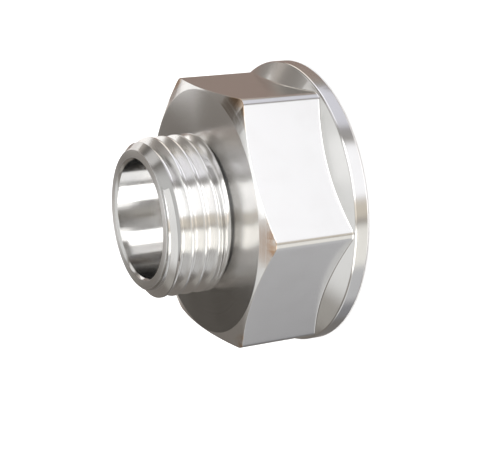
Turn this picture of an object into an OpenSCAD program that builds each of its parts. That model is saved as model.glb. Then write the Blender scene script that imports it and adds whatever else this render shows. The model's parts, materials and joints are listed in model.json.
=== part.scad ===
// Reducing pipe adapter: a male pipe thread at the top, a hexagon for the spanner,
// and a round flange at the foot with a female pipe thread inside it.
// One solid, turned from brass and nickel plated. The foot of the flange lies on z = 0.
// Each thread is a row of rings with the true outline of a 55 degree pipe thread.

/* [Male end] */
// Diameter over the crests of the male thread
male_crest_d = 20.95; // [20:0.05:24]
// Height of the male end above the face of the hexagon
male_len = 9.2; // [6:0.1:16]
// Pitch of the male thread
male_pitch = 1.814; // [1.2:0.001:2.4]
// Width of the relief groove next to the hexagon
relief_w = 0.55; // [0.4:0.05:1.5]
// Width of the plain land between the relief groove and the first turn of thread
land_w = 1.3; // [0.8:0.1:3]
// How much deeper the relief groove is than the roots of the thread
relief_extra = 0.15; // [0.05:0.05:0.4]
// Size of the 45 degree chamfer that starts the male thread
male_chamfer = 1.4; // [0.8:0.1:1.8]

/* [Waterway] */
// Thickness of the metal between the waterway and the relief groove round it
male_wall = 1.4635; // [1:0.0005:3]
// Chamfer on the two edges of the bore
bore_edge = 0.3; // [0.1:0.05:0.5]

/* [Hexagon] */
// Size across the flats
across_flats = 32.9; // [30:0.1:40]
// Radius of the upright corners of the hexagon
hex_corner_round = 1.5; // [0.3:0.1:3]
// Height of the face of the hexagon above the foot
body_h = 14.2; // [13:0.1:22]
// How far the edge of the turned face lies inside the flats
hex_face_inset = 0.25; // [0.05:0.05:1]
// Angle of the chamfer round the face, in degrees
hex_chamfer_angle = 22; // [15:1:35]

/* [Flange] */
// How far the rim of the flange stands out past the corners of the hexagon
flange_overhang = 0.25; // [0.25:0.05:5]
// Height of the rim of the flange, up to where its slope would meet it
rim_h = 2.1; // [1:0.1:4]
// Radius of the shoulder between the rim and the slope
rim_round = 0.4; // [0.1:0.05:0.4]
// Slope of the top of the flange, in degrees
flange_slope = 30; // [24:1:40]
// Chamfer on the lower edge of the rim
rim_edge = 0.3; // [0.1:0.05:0.4]

/* [Female end] */
// Diameter over the crests of the female thread
female_crest_d = 24.1; // [20:0.1:25]
// Pitch of the female thread
female_pitch = 1.814; // [1.2:0.001:2.4]
// Depth of the socket from the foot to its seat
socket_depth = 11; // [8:0.1:12]
// Width of the undercut between the female thread and the seat
undercut_w = 2.2; // [1:0.1:3]
// How much deeper the undercut is than the roots of the thread
undercut_extra = 0.1; // [0.05:0.05:0.4]
// Size of the 45 degree chamfer at the mouth of the socket
mouth_chamfer = 1.3; // [0.8:0.1:1.8]

/* [Hidden] */
$fn = 180;
// Half of the angle between the two flanks of a thread
flank_angle = 27.5;
// Depth of a thread from crest to root, for each unit of its pitch
depth_per_pitch = 0.6403;
// How far a cut runs past the face that it opens
overrun = 1;
hex_sides = 6;
total_h = body_h + male_len;
hex_turn = 360 / hex_sides;
hex_round_centre_r = (across_flats / 2 - hex_corner_round) / cos(hex_turn / 2);
hex_corner_r = hex_round_centre_r + hex_corner_round;
hex_face_r = across_flats / 2 - hex_face_inset;
male_r = male_crest_d / 2;
male_root_r = male_r - male_pitch * depth_per_pitch;
relief_r = male_root_r - relief_extra;
bore_r = relief_r - male_wall;
female_r = female_crest_d / 2;
female_root_r = female_r + female_pitch * depth_per_pitch;
flange_r = hex_corner_r + flange_overhang;
nickel_plate = [0.80, 0.79, 0.77];

// Height of the flank of a thread, and width of its crest, which is also the width of its root
function flank_h(depth) = depth * tan(flank_angle);
function crest_w(pitch, depth) = pitch / 2 - flank_h(depth);

// Outline of a threaded wall as points [radius, z] that go up from z_start. Each turn is a flank
// up to the crest, the crest, the flank back and a root.
function thread_wall(crest_r, root_r, pitch, z_start, turns) =
    let (
        flank = flank_h(abs(crest_r - root_r)),
        crest = crest_w(pitch, abs(crest_r - root_r))
    )
    [
        for (turn = [0 : turns - 1])
            let (z = z_start + turn * pitch)
            each [
                [root_r, z],
                [crest_r, z + flank],
                [crest_r, z + flank + crest],
                [root_r, z + 2 * flank + crest],
            ]
    ];

// Solid inside a wall, out to the axis
module turned(wall) {
    rotate_extrude()
        polygon(concat([[0, wall[0][1]]], wall, [[0, wall[len(wall) - 1][1]]]));
}

// Male end: turns of thread over a plain land and a relief groove. One turn more than fits lets
// the chamfered blank cut the thread off, as the lathe does.
module male_end() {
    land_start = body_h + relief_w;
    land_end = land_start + land_w;
    thread_start = land_end + male_pitch / 2;
    turns = ceil((total_h - thread_start) / male_pitch) + 1;
    intersection() {
        turned(concat(
            [
                [relief_r, body_h - overrun],
                [relief_r, land_start],
                [male_r, land_start],
                [male_r, land_end],
                [male_root_r, land_end + flank_h(male_r - male_root_r)],
            ],
            thread_wall(male_r, male_root_r, male_pitch, thread_start, turns)
        ));
        chamfered_blank(male_r + overrun, male_r - male_chamfer, 45, total_h);
    }
}

// Blank with a flat end of radius end_r at end_z, which a cone at this angle joins to its side
module chamfered_blank(side_r, end_r, angle, end_z) {
    turned([
        [side_r, 0],
        [side_r, end_z - (side_r - end_r) * tan(angle)],
        [end_r, end_z],
    ]);
}

// Plan of the hexagon: flats that end where the circles of the rounded corners touch them
module hexagon_plan() {
    polygon([
        for (i = [0 : hex_sides - 1], side = [-1, 1])
            let (corner = i * hex_turn, flat = corner + side * hex_turn / 2)
            hex_round_centre_r * [cos(corner), sin(corner)]
                + hex_corner_round * [cos(flat), sin(flat)]
    ]);
    for (i = [0 : hex_sides - 1])
        rotate(i * hex_turn)
            translate([hex_round_centre_r, 0])
                circle(r = hex_corner_round);
}

// Hexagon: a prism whose upper corners are turned off by a shallow cone
module hexagon() {
    intersection() {
        translate([0, 0, rim_h / 2])
            linear_extrude(body_h)
                hexagon_plan();
        chamfered_blank(hex_corner_r + overrun, hex_face_r, hex_chamfer_angle, body_h);
    }
}

// Flange: a rim with a rounded shoulder, and a slope that runs up into the flats of the hexagon
module flange() {
    slope_end_r = across_flats / 2 - rim_h / 2;
    slope_end_z = rim_h + (flange_r - slope_end_r) * tan(flange_slope);
    round_z = rim_h - rim_round * tan((90 - flange_slope) / 2);
    round_r = flange_r - rim_round;
    rotate_extrude() {
        polygon([
            [0, 0],
            [flange_r - rim_edge, 0],
            [flange_r, rim_edge],
            [flange_r, round_z],
            [round_r + rim_round * sin(flange_slope), round_z + rim_round * cos(flange_slope)],
            [slope_end_r, slope_end_z],
            [0, slope_end_z],
        ]);
        translate([round_r, round_z])
            circle(r = rim_round);
    }
}

// Room for the waterway, with a chamfer on the edge at each end
module waterway() {
    edge_r = bore_r + bore_edge;
    translate([0, 0, socket_depth - overrun])
        cylinder(r = bore_r, h = total_h - socket_depth + 2 * overrun);
    translate([0, 0, total_h - bore_edge])
        cylinder(r1 = bore_r, r2 = edge_r + overrun, h = bore_edge + overrun);
    translate([0, 0, socket_depth - overrun])
        cylinder(r1 = edge_r + overrun, r2 = bore_r, h = bore_edge + overrun);
}

// Room for the mating pipe: thread, undercut, flat seat and a chamfered mouth
module socket() {
    thread_end = socket_depth - undercut_w;
    turns = ceil((thread_end + overrun) / female_pitch);
    thread_start = thread_end - turns * female_pitch;
    turned(concat(
        thread_wall(female_r, female_root_r, female_pitch, thread_start, turns),
        [
            [female_root_r, thread_end],
            [female_root_r + undercut_extra, thread_end],
            [female_root_r + undercut_extra, socket_depth],
        ]
    ));
    translate([0, 0, -overrun])
        cylinder(r1 = female_r + mouth_chamfer + overrun, r2 = female_r, h = mouth_chamfer + overrun);
}

module adapter_body() {
    color(nickel_plate)
        difference() {
            union() {
                male_end();
                hexagon();
                flange();
            }
            waterway();
            socket();
        }
}

adapter_body();
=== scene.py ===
"""Reducing pipe adapter: bright nickel plate over turned brass, on a pale floor in soft light.

The adapter is one closed mesh: a profile that runs once round the metal's section, swept through
a full turn in columns. The two threads are true right-hand helices, and each corner is rounded.
"""

import json
import math
from typing import NamedTuple

import bmesh
import bpy
import numpy as np
from mathutils import Matrix, Vector


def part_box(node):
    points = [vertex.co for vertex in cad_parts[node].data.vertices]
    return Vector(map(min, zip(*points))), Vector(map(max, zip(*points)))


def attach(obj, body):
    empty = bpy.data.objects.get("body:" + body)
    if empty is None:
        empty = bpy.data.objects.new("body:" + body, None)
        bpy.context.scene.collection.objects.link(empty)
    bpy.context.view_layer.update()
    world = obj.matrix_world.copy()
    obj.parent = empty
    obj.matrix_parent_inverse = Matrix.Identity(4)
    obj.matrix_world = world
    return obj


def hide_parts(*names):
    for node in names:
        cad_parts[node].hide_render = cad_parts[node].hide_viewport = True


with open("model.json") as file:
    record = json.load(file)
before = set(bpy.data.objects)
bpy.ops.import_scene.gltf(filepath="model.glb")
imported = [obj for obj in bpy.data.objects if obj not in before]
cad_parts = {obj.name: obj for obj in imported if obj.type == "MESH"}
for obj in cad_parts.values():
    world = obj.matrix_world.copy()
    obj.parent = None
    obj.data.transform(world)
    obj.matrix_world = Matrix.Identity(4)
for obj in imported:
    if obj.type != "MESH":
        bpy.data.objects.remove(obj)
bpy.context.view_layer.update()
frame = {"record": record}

# Sizes in millimetres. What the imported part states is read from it.
MM = 0.001
_, high_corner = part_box("adapter_body")
mounts = {mount["name"]: mount for mount in frame["record"]["mounts"]}
TOTAL_H = high_corner.z / MM
FLANGE_R = high_corner.x / MM
MALE_R = mounts["male_thread"]["dims"]["r_mm"]
FEMALE_R = mounts["female_thread"]["dims"]["r_mm"]
BORE_R = mounts["waterway"]["dims"]["r_mm"]
SEAT_Z = mounts["washer_seat"]["pos_m"][2] / MM

# Both threads have the pitch and the 55 degree form of a pipe thread
PITCH = 1.814
DEPTH_PER_PITCH = 0.6403
THREAD_DEPTH = DEPTH_PER_PITCH * PITCH
FLANK_TAN = math.tan(math.radians(27.5))
CREST_ROUND = 0.08
ROOT_ROUND = 0.12

MALE_LEN = 9.2
MALE_CHAMFER = 1.4
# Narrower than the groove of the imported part, because the polished face mirrors it
RELIEF_W = 0.18
RELIEF_EXTRA = 0.15
LAND_W = 1.3
BORE_EDGE = 0.3

HALF_FLATS = 16.45
HEX_CORNER_ROUND = 1.5
HEX_FACE_INSET = 0.25
HEX_CHAMFER_TAN = math.tan(math.radians(22))
RIM_H = 2.1
RIM_ROUND = 0.4
RIM_EDGE = 0.3
SLOPE_TAN = math.tan(math.radians(30))

UNDERCUT_W = 2.2
UNDERCUT_EXTRA = 0.1
MOUTH_CHAMFER = 1.3

BODY_H = TOTAL_H - MALE_LEN
MALE_ROOT_R = MALE_R - THREAD_DEPTH
RELIEF_R = MALE_ROOT_R - RELIEF_EXTRA
LAND_START = BODY_H + RELIEF_W
LAND_END = LAND_START + LAND_W
END_R = MALE_R - MALE_CHAMFER
HEX_FACE_R = HALF_FLATS - HEX_FACE_INSET
HEX_ROUND_CENTRE_R = (HALF_FLATS - HEX_CORNER_ROUND) / math.cos(math.pi / 6)
FEMALE_ROOT_R = FEMALE_R + THREAD_DEPTH
UNDERCUT_R = FEMALE_ROOT_R + UNDERCUT_EXTRA
FEMALE_END = SEAT_Z - UNDERCUT_W
MOUTH_R = FEMALE_R + MOUTH_CHAMFER

# Height of a crest of each thread at angle 0. The male helix starts at this share of a pitch.
MALE_START = 0.58
MALE_CREST_Z = LAND_END + PITCH * MALE_START
FEMALE_CREST_Z = PITCH

# Lowest and highest station of each thread, which leave room for the rounded corners beside them
MALE_SPAN_Z = (LAND_START + 0.04, TOTAL_H - 0.24)
FEMALE_SPAN_Z = (0.08, FEMALE_END - 0.03)

# Slope of the short sides that lead from a thread down into its groove, and the softening
# between two surfaces that cut each other
GROOVE_SIDE_SLOPE = 1.7
CUT_SOFTNESS = 0.05

# Columns in half a side of the hexagon: on the rounded corner and on the flat
SECTOR = math.pi / 3
CORNER_COLUMNS = 6
FLAT_COLUMNS = 22
# Angle from the middle of a corner to where its rounding meets the flat
CORNER_TURN = math.atan2(
    HEX_CORNER_ROUND * math.sin(SECTOR / 2),
    HEX_ROUND_CENTRE_R + HEX_CORNER_ROUND * math.cos(SECTOR / 2),
)

# Points of the mesh that lie closer together than this are joined
WELD = 0.0005


class FinishAndPaintedLight(NamedTuple):
    """The look of one zone of the surface, with the painted light and shade of its plate."""

    # Way the tool moved: radial or axial where the metal was turned, and drawn on the flats
    marks: str
    roughness: float
    # How much further a highlight spreads across the marks than along them, from 0 to 1
    anisotropy: float
    marks_per_m: float
    # Depth of the marks in millimetres
    mark_depth: float
    # Painted light and shade: the plate's colour made brighter or darker in this zone, against plain
    # plate, for how light falls on it
    painted_light_and_shade: float = 1.0
    # Brass shows through at the hexagon's corners
    worn: bool = False


# Zones of the surface, in the order of the mesh's material slots
# The last number of a row paints light or shade into the plate's colour: painted light on the face,
# socket, end ring and thread, painted shade in the bore and on the end's chamfer
FINISHES_AND_PAINTED_LIGHT = {
    "turned_face": FinishAndPaintedLight("radial", 0.22, 0.85, 5200, 0.001, painted_light_and_shade=1.06),
    "hex_chamfer": FinishAndPaintedLight("radial", 0.18, 0.4, 4200, 0.0008, worn=True),
    "hexagon_flats": FinishAndPaintedLight("drawn", 0.18, 0, 3200, 0.001),
    "flange": FinishAndPaintedLight("radial", 0.18, 0.4, 4200, 0.0008),
    "foot": FinishAndPaintedLight("radial", 0.30, 0.7, 5200, 0.002),
    "socket": FinishAndPaintedLight("axial", 0.28, 0.3, 4200, 0.001, painted_light_and_shade=1.12),
    "bore": FinishAndPaintedLight("axial", 0.12, 0.4, 3600, 0.0005, painted_light_and_shade=0.9),
    "end_ring": FinishAndPaintedLight("radial", 0.40, 0.8, 5200, 0.001, painted_light_and_shade=1.2),
    "end_chamfer": FinishAndPaintedLight("axial", 0.15, 0.3, 4200, 0.0006, painted_light_and_shade=0.68),
    "male_thread": FinishAndPaintedLight("axial", 0.22, 0.8, 3200, 0.0005, painted_light_and_shade=1.05),
    # The groove's plate is painted far darker: painted shade in the recess
    "groove": FinishAndPaintedLight("axial", 0.35, 0, 3200, 0.0006, painted_light_and_shade=0.15),
}
ZONES = tuple(FINISHES_AND_PAINTED_LIGHT)


def column_angles():
    """Angles of the columns: closer together round the corners of the hexagon."""
    near = np.linspace(0, CORNER_TURN, CORNER_COLUMNS, endpoint=False)
    far = np.linspace(CORNER_TURN, SECTOR / 2, FLAT_COLUMNS, endpoint=False)
    offsets = np.concatenate([near, far])
    mirrored = SECTOR - offsets[1:][::-1]
    sector = np.concatenate([offsets, [SECTOR / 2], mirrored])
    return np.concatenate([sector + i * SECTOR for i in range(6)])


def hexagon_radius(angle):
    """Distance from the axis to the side of the hexagon, whose corners are rounded."""
    turn = np.abs((angle + SECTOR / 2) % SECTOR - SECTOR / 2)
    side = HALF_FLATS / np.cos(SECTOR / 2 - turn)
    across = HEX_ROUND_CENTRE_R * np.sin(turn)
    inside = np.maximum(HEX_CORNER_ROUND**2 - across**2, 0)
    corner = HEX_ROUND_CENTRE_R * np.cos(turn) + np.sqrt(inside)
    return np.where(turn < CORNER_TURN, corner, side)


def fillet(before, point, after, radius, steps):
    """Points of an arc that rounds the corner at point, on the way from before to after.

    The three are arrays of (r, z), with one row for each column.
    """
    back = before - point
    ahead = after - point
    back /= np.linalg.norm(back, axis=1, keepdims=True)
    ahead /= np.linalg.norm(ahead, axis=1, keepdims=True)
    opening = np.arccos(np.clip((back * ahead).sum(1), -1, 1))
    middle = back + ahead
    middle /= np.linalg.norm(middle, axis=1, keepdims=True)
    centre = point + middle * (radius / np.sin(opening / 2))[:, None]
    first = point + back * (radius / np.tan(opening / 2))[:, None] - centre
    last = point + ahead * (radius / np.tan(opening / 2))[:, None] - centre
    sweep = math.pi - opening
    arc = []
    for share in np.linspace(0, 1, steps + 1):
        weight_a = np.sin((1 - share) * sweep) / np.sin(sweep)
        weight_b = np.sin(share * sweep) / np.sin(sweep)
        arc.append(centre + first * weight_a[:, None] + last * weight_b[:, None])
    return arc


def soft_min(a, b):
    """The smaller of two values, with a round transition where they are nearly equal."""
    gap = np.maximum(CUT_SOFTNESS - np.abs(a - b), 0) / CUT_SOFTNESS
    return np.minimum(a, b) - gap**2 * CUT_SOFTNESS / 4


def soft_max(a, b):
    """The larger of two values, with the same transition."""
    return -soft_min(-a, -b)


def thread_form():
    """One pitch of a thread, with round corners, as (offset along the axis, depth below the crest)."""
    flank = THREAD_DEPTH * FLANK_TAN
    half_flat = (PITCH / 2 - flank) / 2
    corners = [
        (-half_flat - flank, THREAD_DEPTH, ROOT_ROUND),
        (-half_flat, 0, CREST_ROUND),
        (half_flat, 0, CREST_ROUND),
        (half_flat + flank, THREAD_DEPTH, ROOT_ROUND),
    ]
    count = len(corners)
    offsets, depths = [], []
    for i, (at, depth, radius) in enumerate(corners):
        before = corners[i - 1][:2] if i else (corners[-1][0] - PITCH, corners[-1][1])
        after = corners[i + 1][:2] if i + 1 < count else (corners[0][0] + PITCH, corners[0][1])
        rows = [np.array([p], float) for p in (before, (at, depth), after)]
        for point in fillet(*rows, radius, steps=3):
            offsets.append(point[0, 0])
            depths.append(point[0, 1])
    return np.array(offsets), np.array(depths)


FORM_OFFSETS, FORM_DEPTHS = thread_form()
STEPS_PER_TURN = len(FORM_OFFSETS)


def helix_band(angles, crest_z, span_z, radius_at):
    """Stations of a threaded wall, going up: arrays of (r, z) that follow the helix.

    crest_z is the height of a crest at angle 0. Stations past the ends of span_z stay on them.
    """
    start_z, end_z = span_z
    first = math.floor((start_z - crest_z) / PITCH) - 1
    last = math.ceil((end_z - crest_z) / PITCH)
    rise = PITCH * angles / math.tau
    phase = crest_z + rise
    ring_offsets = np.append(FORM_OFFSETS, FORM_OFFSETS[0] + PITCH)
    ring_depths = np.append(FORM_DEPTHS, FORM_DEPTHS[0])
    stations = []
    for turn in range(first, last + 1):
        for offset, depth in zip(FORM_OFFSETS, FORM_DEPTHS):
            along = crest_z + turn * PITCH + offset + rise
            z = np.clip(along, start_z, end_z)
            local = (z - phase - FORM_OFFSETS[0]) % PITCH + FORM_OFFSETS[0]
            inside = np.where(z == along, depth, np.interp(local, ring_offsets, ring_depths))
            stations.append(np.stack([radius_at(inside, z), z], 1))
    return stations


def male_radius(depth, z):
    """Thread that runs out into the land, cut by the end's chamfer and the relief groove's side."""
    land = MALE_R - np.maximum(z - LAND_END, 0) / FLANK_TAN
    r = soft_max(MALE_R - depth, land)
    r = soft_min(r, END_R + TOTAL_H - z)
    return soft_min(r, RELIEF_R + (z - LAND_START) * GROOVE_SIDE_SLOPE)


def female_radius(depth, z):
    """Thread, cut by the chamfer at the mouth and the side of the undercut."""
    r = soft_max(FEMALE_R + depth, MOUTH_R - z)
    return soft_max(r, UNDERCUT_R - (FEMALE_END - z) * GROOVE_SIDE_SLOPE)


def profile(angles):
    """The section as a closed loop: its stations, the zone of each, and the rows of each helix."""
    count = len(angles)

    def at(r, z):
        return np.stack([np.broadcast_to(r, count), np.broadcast_to(z, count)], 1).astype(float)

    hex_r = hexagon_radius(angles)
    chamfer_z = BODY_H - (hex_r - HEX_FACE_R) * HEX_CHAMFER_TAN
    slope_z = RIM_H + (FLANGE_R - hex_r) * SLOPE_TAN
    male = helix_band(angles, MALE_CREST_Z, MALE_SPAN_Z, male_radius)
    female = helix_band(angles, FEMALE_CREST_Z, FEMALE_SPAN_Z, female_radius)

    # Corners as (point, radius of its rounding, steps of the arc, zone of the stretch that ends there)
    outside = [
        (at(RELIEF_R, LAND_START), 0.03, 2, "groove"),
        (at(RELIEF_R, BODY_H), 0.05, 3, "groove"),
        (at(HEX_FACE_R, BODY_H), 0.15, 3, "turned_face"),
        (np.stack([hex_r, chamfer_z], 1), 0.12, 4, "hex_chamfer"),
        (np.stack([hex_r, slope_z], 1), 0.3, 4, "hexagon_flats"),
        (at(FLANGE_R, RIM_H), RIM_ROUND, 6, "flange"),
        (at(FLANGE_R, RIM_EDGE), 0.1, 3, "flange"),
        (at(FLANGE_R - RIM_EDGE, 0), 0.1, 3, "flange"),
        (at(MOUTH_R, 0), 0.08, 3, "foot"),
    ]
    inside = [
        (at(UNDERCUT_R, FEMALE_END), 0.04, 2, "socket"),
        (at(UNDERCUT_R, SEAT_Z), 0.2, 3, "socket"),
        (at(BORE_R + BORE_EDGE, SEAT_Z), 0.06, 3, "foot"),
        (at(BORE_R, SEAT_Z + BORE_EDGE), 0.08, 3, "bore"),
        (at(BORE_R, TOTAL_H - BORE_EDGE), 0.08, 3, "bore"),
        (at(BORE_R + BORE_EDGE, TOTAL_H), 0.06, 3, "bore"),
        (at(END_R, TOTAL_H), 0.1, 3, "end_ring"),
    ]
    stations, zones = [], []

    def add_corners(corners, before, after):
        points = [before] + [corner[0] for corner in corners] + [after]
        for i, (point, radius, steps, zone) in enumerate(corners):
            arc = fillet(points[i], point, points[i + 2], radius, steps)
            stations.extend(arc)
            zones.extend([zone] * len(arc))

    # Down the male thread, round the outside to the foot, up the female thread and up the bore
    male_down = male[::-1]
    male_rows = (0, len(male_down) - 1)
    stations.extend(male_down)
    zones.extend(["male_thread"] * len(male_down))
    add_corners(outside, male_down[-1], female[0])
    female_rows = (len(stations), len(stations) + len(female) - 1)
    stations.extend(female)
    zones.extend(["socket"] * len(female))
    add_corners(inside, female[-1], male_down[0])
    return stations, zones, male_rows, female_rows


def adapter_mesh():
    """The adapter as a mesh, in metres."""
    angles = column_angles()
    stations, zones, male_rows, female_rows = profile(angles)
    columns, rows = len(angles), len(stations)
    loop = np.stack(stations, 1)
    x = loop[:, :, 0] * np.cos(angles)[:, None]
    y = loop[:, :, 0] * np.sin(angles)[:, None]
    points = np.stack([x, y, loop[:, :, 1]], 2).reshape(-1, 3) * MM

    def wrapped(row):
        """Row of the first column that meets this row of the last one, a full turn on."""
        if male_rows[0] <= row <= male_rows[1]:
            return max(row - STEPS_PER_TURN, male_rows[0])
        if female_rows[0] <= row <= female_rows[1]:
            return min(row + STEPS_PER_TURN, female_rows[1])
        return row

    chamfer_r = END_R + TOTAL_H - loop[:, :, 1]
    on_chamfer = (loop[:, :, 0] > chamfer_r - CUT_SOFTNESS / 2) & (loop[:, :, 1] > LAND_END)
    faces, face_zones = [], []
    for column in range(columns):
        ahead = (column + 1) % columns
        for row in range(rows):
            following = (row + 1) % rows
            ends = (row, following) if ahead else (wrapped(row), wrapped(following))
            faces.append(
                (
                    column * rows + row,
                    column * rows + following,
                    ahead * rows + ends[1],
                    ahead * rows + ends[0],
                )
            )
            zone = zones[following]
            if zone == "male_thread" and on_chamfer[column, row] and on_chamfer[column, following]:
                zone = "end_chamfer"
            face_zones.append(ZONES.index(zone))

    mesh = bpy.data.meshes.new("adapter_body_plated")
    mesh.from_pydata(points.tolist(), [], faces)
    mesh.polygons.foreach_set("material_index", face_zones)
    built = bmesh.new()
    built.from_mesh(mesh)
    bmesh.ops.remove_doubles(built, verts=built.verts, dist=WELD * MM)
    bmesh.ops.dissolve_degenerate(built, edges=built.edges, dist=WELD * MM)
    bmesh.ops.recalc_face_normals(built, faces=built.faces)
    for face in built.faces:
        face.smooth = True
    built.to_mesh(mesh)
    built.free()
    return mesh


class Nodes:
    """Short ways to add nodes to a node tree."""

    def __init__(self, tree):
        self.tree = tree
        tree.nodes.clear()

    def add(self, kind, inputs=(), **settings):
        node = self.tree.nodes.new(kind)
        for name, value in settings.items():
            setattr(node, name, value)
        for key, value in dict(inputs).items():
            self.feed(node.inputs[key], value)
        return node

    def feed(self, socket, value):
        """Links an output to the socket, or sets a plain value on it."""
        if isinstance(value, bpy.types.NodeSocket):
            self.tree.links.new(value, socket)
        else:
            socket.default_value = value

    def math(self, operation, *values):
        return self.add("ShaderNodeMath", enumerate(values), operation=operation).outputs[0]

    def scaled(self, vector, factors):
        """The vector with each of its numbers multiplied by a factor of its own."""
        node = self.add("ShaderNodeVectorMath", {0: vector, 1: factors}, operation="MULTIPLY")
        return node.outputs[0]

    def mix(self, factor, a, b):
        """Colour a where the factor is 0, and colour b where it is 1."""
        node = self.add("ShaderNodeMix", data_type="RGBA")
        self.feed(node.inputs[0], factor)
        self.feed(node.inputs[6], a)
        self.feed(node.inputs[7], b)
        return node.outputs[2]

    def fade(self, value, start, end, low=0.0, high=1.0):
        """A smooth step from low, at start, to high, at end."""
        node = self.add("ShaderNodeMapRange", interpolation_type="SMOOTHSTEP")
        for i, number in enumerate((value, start, end, low, high)):
            self.feed(node.inputs[i], number)
        return node.outputs[0]

    def noise(self, scale, detail, roughness, vector=None, w=None):
        """Noise in space, or along one measure w."""
        node = self.add("ShaderNodeTexNoise", noise_dimensions="1D" if vector is None else "3D")
        self.feed(node.inputs["Scale"], scale)
        self.feed(node.inputs["Detail"], detail)
        self.feed(node.inputs["Roughness"], roughness)
        if vector is None:
            self.feed(node.inputs["W"], w)
        else:
            self.feed(node.inputs["Vector"], vector)
        return node.outputs[0]


def tone(r, g, b, times=1.0):
    """Colour from 0 to 255 display values, as linear light, made brighter if asked."""
    linear = [((v / 255 + 0.055) / 1.055) ** 2.4 for v in (r, g, b)]
    return (*(times * v for v in linear), 1.0)


NICKEL = (0.80, 0.795, 0.785)
NICKEL_DULL = (0.72, 0.71, 0.695)
BRASS_TINT = (0.62, 0.43, 0.27, 1.0)
# Most that dull patches and worn brass cover the clean plate, as shares
DULL_SHARE = 0.35
BRASS_SHARE = 0.75
# The plate is worn from the first of these distances from the axis, and fully from the second
WEAR_START_R = 17.0
WEAR_FULL_R = 18.2
# How much the cloudy patches and the tool marks change the roughness
CLOUDY_ROUGHNESS = 0.10
MARK_ROUGHNESS = 0.12
# Drawn marks run up the flats: their noise is stretched along Z by one over this
DRAWN_SQUEEZE = 0.04


def tool_marks(nodes, finish_and_painted_light, where, reach, height):
    """Fine lines in the direction in which the tool moved, as noise from 0 to 1."""
    if finish_and_painted_light.marks == "radial":
        return nodes.noise(finish_and_painted_light.marks_per_m, 3.0, 0.7, w=reach)
    if finish_and_painted_light.marks == "axial":
        return nodes.noise(finish_and_painted_light.marks_per_m, 3.0, 0.7, w=height)
    return nodes.noise(finish_and_painted_light.marks_per_m, 4.0, 0.6, vector=nodes.scaled(where, (1, 1, DRAWN_SQUEEZE)))


def plate_color(nodes, finish_and_painted_light, where, reach, cloudy):
    """Nickel with duller patches, made brighter or darker by the zone's painted light and shade, and,
    where it is worn, brass at the hexagon's corners.
    """
    # Painted light and shade: both plates are made brighter or darker for how light falls on this zone
    clean, dull = ((*(finish_and_painted_light.painted_light_and_shade * c for c in plate), 1.0) for plate in (NICKEL, NICKEL_DULL))
    color = nodes.mix(nodes.fade(cloudy, 0.35, 0.75, 0.0, DULL_SHARE), clean, dull)
    if finish_and_painted_light.worn:
        edge = nodes.fade(reach, WEAR_START_R * MM, WEAR_FULL_R * MM)
        patchy = nodes.fade(nodes.noise(420.0, 3.0, 0.6, vector=where), 0.38, 0.62)
        share = nodes.math("MULTIPLY", edge, patchy)
        color = nodes.mix(nodes.math("MULTIPLY", share, BRASS_SHARE), color, BRASS_TINT)
    return color


def plated_material(name, finish_and_painted_light):
    """Nickel plate over turned brass, with the finish and the painted light and shade of one zone."""
    material = bpy.data.materials.new(name)
    material.use_nodes = True
    nodes = Nodes(material.node_tree)
    where = nodes.add("ShaderNodeTexCoord").outputs["Object"]
    height = nodes.add("ShaderNodeSeparateXYZ", {0: where}).outputs[2]
    flat = nodes.scaled(where, (1, 1, 0))
    reach = nodes.add("ShaderNodeVectorMath", {0: flat}, operation="LENGTH").outputs["Value"]
    cloudy = nodes.noise(220.0, 4.0, 0.55, vector=where)
    marks = tool_marks(nodes, finish_and_painted_light, where, reach, height)

    rough = nodes.math("MULTIPLY", cloudy, CLOUDY_ROUGHNESS)
    rough = nodes.math("ADD", rough, finish_and_painted_light.roughness - CLOUDY_ROUGHNESS / 2)
    lift = nodes.math("MULTIPLY", nodes.math("SUBTRACT", marks, 0.5), MARK_ROUGHNESS)
    bump = nodes.add(
        "ShaderNodeBump", {"Strength": 1.0, "Distance": finish_and_painted_light.mark_depth * MM, "Height": marks}
    )
    shader = nodes.add(
        "ShaderNodeBsdfPrincipled",
        {
            "Base Color": plate_color(nodes, finish_and_painted_light, where, reach, cloudy),
            "Roughness": nodes.math("ADD", rough, lift),
            "Normal": bump.outputs[0],
            "Metallic": 1.0,
        },
    )
    if finish_and_painted_light.anisotropy:
        shader.inputs["Anisotropic"].default_value = finish_and_painted_light.anisotropy
        # The marks run round the axis, so a highlight spreads across them
        shader.inputs["Anisotropic Rotation"].default_value = 0.25
        tangent = nodes.add("ShaderNodeTangent", direction_type="RADIAL", axis="Z")
        nodes.feed(shader.inputs["Tangent"], tangent.outputs[0])
    nodes.add("ShaderNodeOutputMaterial", {"Surface": shader.outputs[0]})
    return material


def build_adapter():
    """The plated adapter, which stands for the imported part."""
    adapter = bpy.data.objects.new("adapter_body_plated", adapter_mesh())
    bpy.context.scene.collection.objects.link(adapter)
    for zone, finish_and_painted_light in FINISHES_AND_PAINTED_LIGHT.items():
        adapter.data.materials.append(plated_material(f"plate_{zone}", finish_and_painted_light))
    weighted = adapter.modifiers.new("even_normals", "WEIGHTED_NORMAL")
    weighted.mode = "FACE_AREA"
    weighted.weight = 100
    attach(adapter, "root")
    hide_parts("adapter_body")


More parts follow.
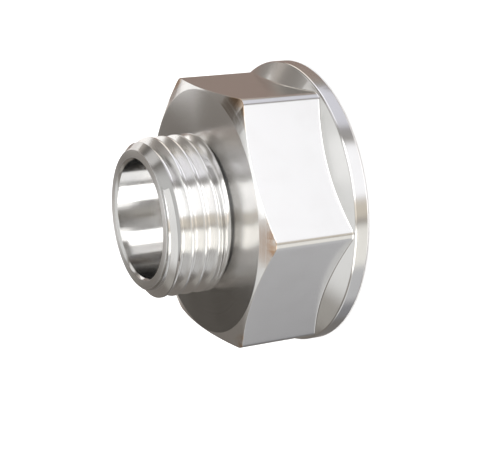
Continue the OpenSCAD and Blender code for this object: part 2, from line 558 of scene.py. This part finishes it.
# Panels round the adapter, as (azimuth, elevation, half width, half height, softness, colour),
# with angles in degrees. A later one covers the ones before it.
PANELS = (
    # Wall on the +Y side, round to -X: warm low down and greyer above, with three pale patches
    (165, -5, 40, 50, 12, tone(136, 121, 113)),
    (160, 24, 40, 19, 14, tone(130, 125, 120)),
    (152, 14, 10, 9, 8, tone(182, 175, 168)),
    (105, 20, 45, 24, 10, tone(124, 120, 115)),
    (131, 34, 12, 7, 6, tone(224, 222, 220)),
    (82, 22, 13, 12, 8, tone(216, 214, 216)),
    # Wall on the -Y side, round to -X: dark, with one paler patch and one darker
    (-130, 14, 32, 24, 10, tone(112, 107, 102)),
    (-88, 16, 14, 16, 8, tone(102, 98, 94)),
    (-113, 33, 11, 9, 8, tone(152, 149, 144)),
    (-157, 25, 9, 13, 5, tone(62, 59, 55)),
    # The same wall lower down: dark at the back and paler towards the front
    (-120, -30, 24, 22, 10, tone(110, 107, 104)),
    (-92, -32, 12, 18, 12, tone(126, 126, 129)),
    (-62, -32, 20, 20, 14, tone(180, 180, 182)),
    (-70, -6, 20, 14, 16, tone(205, 205, 205)),
    # White strip at the back, below the horizon
    (-167, -24, 9, 20, 6, tone(236, 234, 230, 1.1)),
    # Bright front: two white sheets with a beige one between them, each brighter at its middle
    (-28, -5, 18, 48, 8, tone(226, 224, 219)),
    (-28, 4, 17, 25, 6, tone(246, 244, 240, 1.8)),
    (3, -5, 8, 48, 6, tone(196, 188, 176)),
    (3, 4, 8, 25, 6, tone(214, 206, 194, 1.15)),
    (34, -5, 23, 48, 8, tone(248, 248, 251)),
    (34, 4, 22, 25, 6, tone(254, 254, 255, 1.9)),
    # Cool sheet low on the +Y side, a lamp in it, a warmer lamp past it, and a grey post in front
    (93, -30, 22, 28, 10, tone(204, 204, 212)),
    (96, -11, 25, 12, 6, tone(240, 240, 246, 1.3)),
    (132, -15, 17, 10, 6, tone(226, 220, 212, 1.4)),
    (65, -5, 3.5, 45, 4, tone(150, 148, 147)),
    # Ceiling: a lamp and two brown patches
    (165, 76, 38, 8, 6, tone(254, 254, 254, 1.6)),
    (164, 47, 11, 7, 4, tone(74, 64, 54)),
    (-136, 66, 14, 6, 5, tone(170, 150, 134)),
)
CEILING_TONE = tone(214, 214, 213)
ROOM_TONE = tone(136, 131, 126)
# Light from under the adapter, which comes up through the open socket
BELOW_TONE = tone(250, 250, 250, 1.5)
# Elevations in degrees between which the room turns into the ceiling, and into the light below
CEILING_EDGE = (38, 54)
BELOW_EDGE = (-50, -62)
# The panels' tones are those that the plate shows, so its own darkness is divided out of them
PLATE_ALBEDO = 0.8
# Strength of the plain white that lights the floor and stands behind the adapter
FLOOR_LIGHT = 1.7


def panel_share(nodes, angle, half_size, softness):
    """1 on a panel and 0 past it, from the angle to its middle line, with a soft edge."""
    outer = math.radians(half_size + softness / 2)
    inner = math.radians(half_size - softness / 2)
    return nodes.fade(nodes.math("ABSOLUTE", angle), outer, inner)


def build_world():
    """A pale studio, placed by direction: mirrors see its panels, and all else plain white."""
    world = bpy.data.worlds.new("studio")
    bpy.context.scene.world = world
    world.use_nodes = True
    nodes = Nodes(world.node_tree)
    direction = nodes.add("ShaderNodeTexCoord").outputs["Generated"]
    split = nodes.add("ShaderNodeSeparateXYZ", {0: direction}).outputs
    azimuth = nodes.math("ARCTAN2", split[1], split[0])
    elevation = nodes.math("ARCSINE", split[2])
    ceiling = nodes.fade(elevation, *(math.radians(edge) for edge in CEILING_EDGE))
    color = nodes.mix(ceiling, ROOM_TONE, CEILING_TONE)
    for az, el, half_w, half_h, softness, paint in PANELS:
        turn = nodes.math("SUBTRACT", azimuth, math.radians(az))
        turn = nodes.math("WRAP", turn, math.pi, -math.pi)
        rise = nodes.math("SUBTRACT", elevation, math.radians(el))
        wide = panel_share(nodes, turn, half_w, softness)
        tall = panel_share(nodes, rise, half_h, softness)
        color = nodes.mix(nodes.math("MULTIPLY", wide, tall), color, paint)
    below = nodes.fade(elevation, *(math.radians(edge) for edge in BELOW_EDGE))
    color = nodes.mix(below, color, BELOW_TONE)
    paths = nodes.add("ShaderNodeLightPath").outputs
    mirrored = nodes.add("ShaderNodeBackground", {"Color": color, "Strength": 1 / PLATE_ALBEDO})
    plain = nodes.add("ShaderNodeBackground", {"Color": (1.0, 1.0, 1.0, 1.0), "Strength": FLOOR_LIGHT})
    unseen = nodes.math("MAXIMUM", paths["Is Camera Ray"], paths["Is Diffuse Ray"])
    both = nodes.add("ShaderNodeMixShader", {0: unseen, 1: mirrored.outputs[0], 2: plain.outputs[0]})
    nodes.add("ShaderNodeOutputWorld", {"Surface": both.outputs[0]})


# Half the floor's side and its drop below the flange, in metres. The drop keeps the two apart.
FLOOR_HALF = 3.0
FLOOR_DROP = 0.00002
FLOOR_PALE = (0.97, 0.97, 0.97, 1)
FLOOR_GRAIN = (0.95, 0.95, 0.95, 1)


def build_floor():
    """A pale floor under the flange. Mirrors look past it to the room."""
    mesh = bpy.data.meshes.new("floor")
    corners = [(x * FLOOR_HALF, y * FLOOR_HALF, 0) for x, y in ((-1, -1), (1, -1), (1, 1), (-1, 1))]
    mesh.from_pydata(corners, [], [(0, 1, 2, 3)])
    floor = bpy.data.objects.new("floor", mesh)
    floor.location.z = -FLOOR_DROP
    bpy.context.scene.collection.objects.link(floor)
    material = bpy.data.materials.new("floor_paper")
    material.use_nodes = True
    nodes = Nodes(material.node_tree)
    where = nodes.add("ShaderNodeTexCoord").outputs["Object"]
    grain = nodes.fade(nodes.noise(900.0, 3.0, 0.6, vector=where), 0.3, 0.7, 0.0, 0.5)
    shader = nodes.add(
        "ShaderNodeBsdfPrincipled",
        {
            "Base Color": nodes.mix(grain, FLOOR_PALE, FLOOR_GRAIN),
            "Roughness": 0.9,
            "Specular IOR Level": 0.0,
        },
    )
    nodes.add("ShaderNodeOutputMaterial", {"Surface": shader.outputs[0]})
    mesh.materials.append(material)
    floor.visible_glossy = False


# Lamps near the adapter, which show in the plate alone, neither to the camera nor on the floor:
# (name, place in mm, azimuth and elevation that it faces, width and height in mm, radiance).
# The four in the bore stand upright inside it.
LAMPS = (
    ("card_behind_thread", (-58, 20, 31), (0, 0), 28, 22, 0.7),
    ("bore_lamp_low", (0.0, -3.75, 15.6), (90, 0), 5.6, 8.8, 1.4),
    ("bore_lamp_high", (0.3, 3.97, 14.3), (-90, 0), 4.6, 8, 1.3),
    ("bore_lamp_beside", (-3.2, 3.97, 14.3), (-90, 0), 2.2, 8, 0.5),
    ("bore_lamp_edge", (-5.85, 0, 17.2), (90, 0), 0.8, 9, 0.8),
)
# Power of an area lamp, in watts for each square metre, that gives it a radiance of 1
LAMP_POWER = 4


def build_lamps():
    for name, place, (azimuth, elevation), width, height, radiance in LAMPS:
        data = bpy.data.lights.new(name, "AREA")
        data.shape = "RECTANGLE"
        data.size = width * MM
        data.size_y = height * MM
        data.energy = LAMP_POWER * width * height * MM**2 * radiance
        lamp = bpy.data.objects.new(name, data)
        # A lamp shines along its -Z, with its height along its Y
        turn = Matrix.Rotation(math.radians(azimuth - 90), 4, "Z")
        tilt = Matrix.Rotation(math.radians(90 + elevation), 4, "X")
        lamp.matrix_world = Matrix.Translation(Vector(place) * MM) @ turn @ tilt
        lamp.visible_camera = False
        lamp.visible_diffuse = False
        bpy.context.scene.collection.objects.link(lamp)


# The camera stands at the photograph's place, and is rolled so that the waterway lies level
CAMERA_AT = Vector((159.17, 47.22, 89.91)) * MM
CAMERA_AIM = Vector((2.405, -1.998, 8.286)) * MM
CAMERA_ROLL = math.radians(97.59)
LENS_MM = 99.13
SENSOR_MM = 36


def build_camera():
    data = bpy.data.cameras.new("camera")
    data.lens = LENS_MM
    data.sensor_width = SENSOR_MM
    data.sensor_fit = "HORIZONTAL"
    data.clip_start = 0.01
    data.clip_end = 20
    camera = bpy.data.objects.new("camera", data)
    look = (CAMERA_AIM - CAMERA_AT).to_track_quat("-Z", "Y").to_matrix().to_4x4()
    roll = Matrix.Rotation(-CAMERA_ROLL, 4, "Z")
    camera.matrix_world = Matrix.Translation(CAMERA_AT) @ look @ roll
    bpy.context.scene.collection.objects.link(camera)
    bpy.context.scene.camera = camera


bpy.context.scene.view_settings.view_transform = "Standard"
build_camera()
build_adapter()
build_world()
build_lamps()
build_floor()
